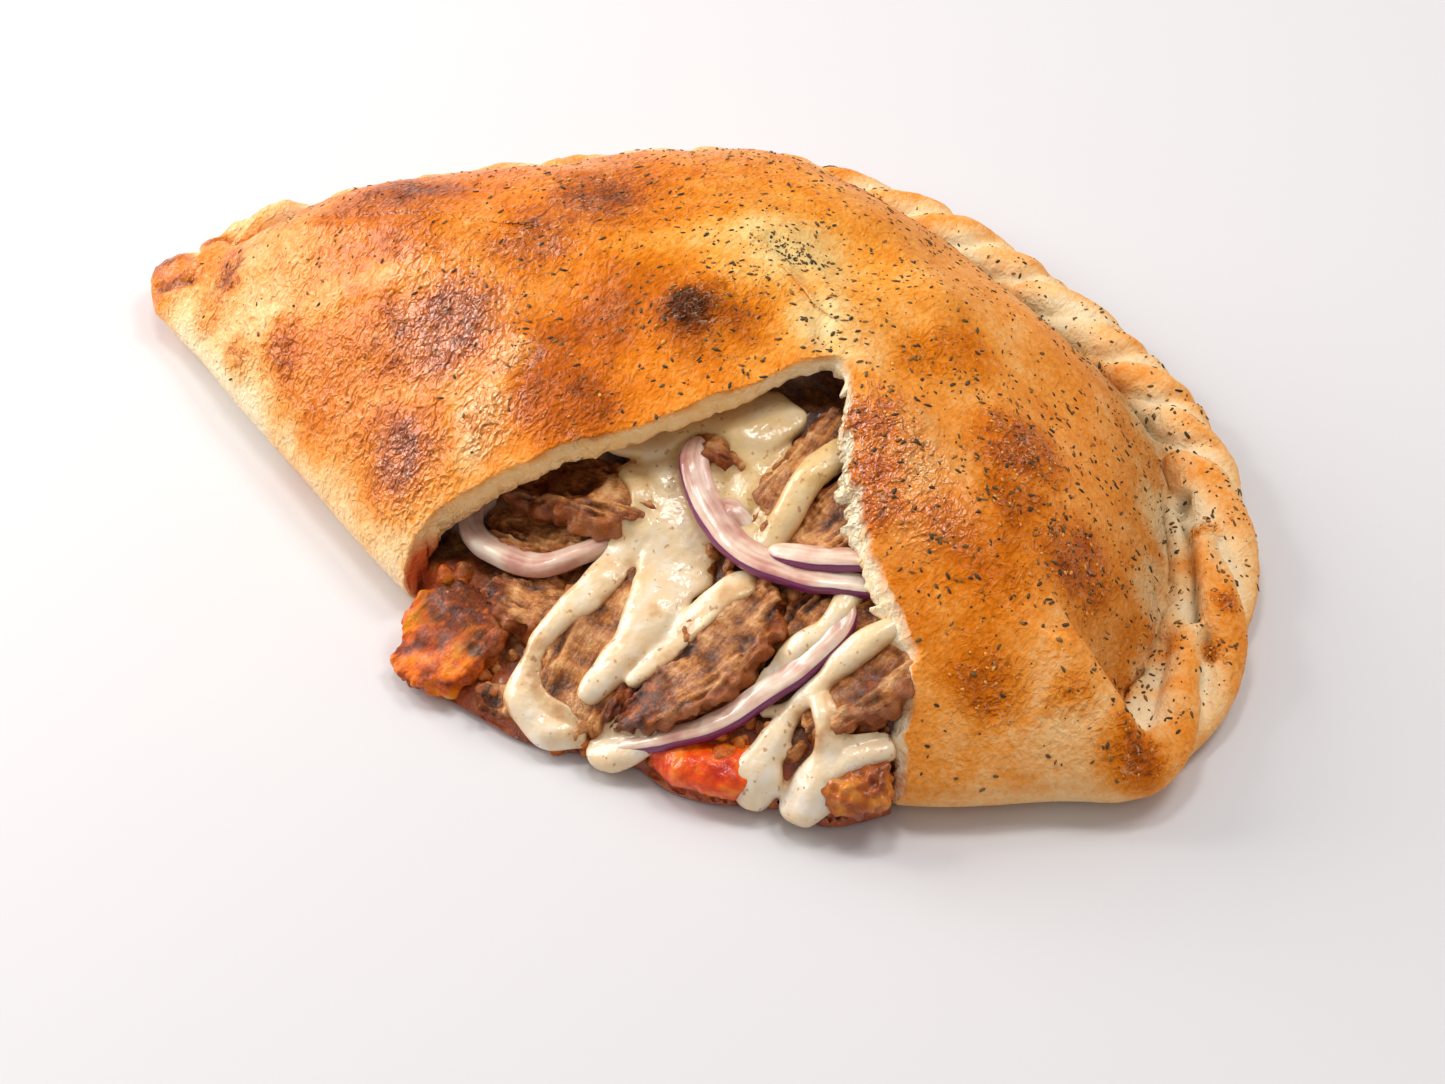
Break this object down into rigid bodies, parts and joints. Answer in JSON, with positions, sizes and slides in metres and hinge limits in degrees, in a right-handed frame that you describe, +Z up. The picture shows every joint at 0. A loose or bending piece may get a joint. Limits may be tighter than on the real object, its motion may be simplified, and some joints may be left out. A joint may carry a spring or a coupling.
{
  "type": "calzone",
  "caption": "Baked folded pizza with a crimped edge and a domed top, cut open at the folded side so that its meat, cheese and onion filling shows and spills out.",
  "frame": {"origin": "on the flat base, in the plan where the half round dough is laid out, a little behind the opening's middle", "axes": "+X from the pointed tip to the blunt end, +Y from the folded side with the opening to the crimped back, +Z up from the base"},
  "size_m": [0.2895, 0.2016, 0.0617],
  "materials": {
    "crust": "baked dough, golden with browned blisters and a thin gloss of oil",
    "filling": "minced meat, sauce and melted cheese pressed together, moist",
    "meat": "sliced roast meat, fibrous and moist with browned edges",
    "cheese": "melted cheese, smooth and glossy",
    "onion": "cooked red onion, translucent with a purple skin",
    "tomato": "cooked tomato, wet and glossy",
    "sauce": "thick tomato sauce with meat juice, glossy"
  },
  "bodies": {
    "root": {"crust": "crust", "filling": "filling", "meat_1": "meat", "meat_2": "meat", "meat_3": "meat", "meat_4": "meat", "meat_5": "meat", "meat_6": "meat", "meat_7": "meat", "meat_8": "meat", "meat_9": "meat", "meat_10": "meat", "meat_11": "meat", "meat_12": "meat", "crumb": "meat", "cheese_left": "cheese", "cheese_right": "cheese", "cheese_front": "cheese", "onion_1": "onion", "onion_2": "onion", "onion_3": "onion", "onion_4": "onion", "onion_5": "onion", "tomato": "tomato", "sauce": "sauce"}
  },
  "joints": []
}
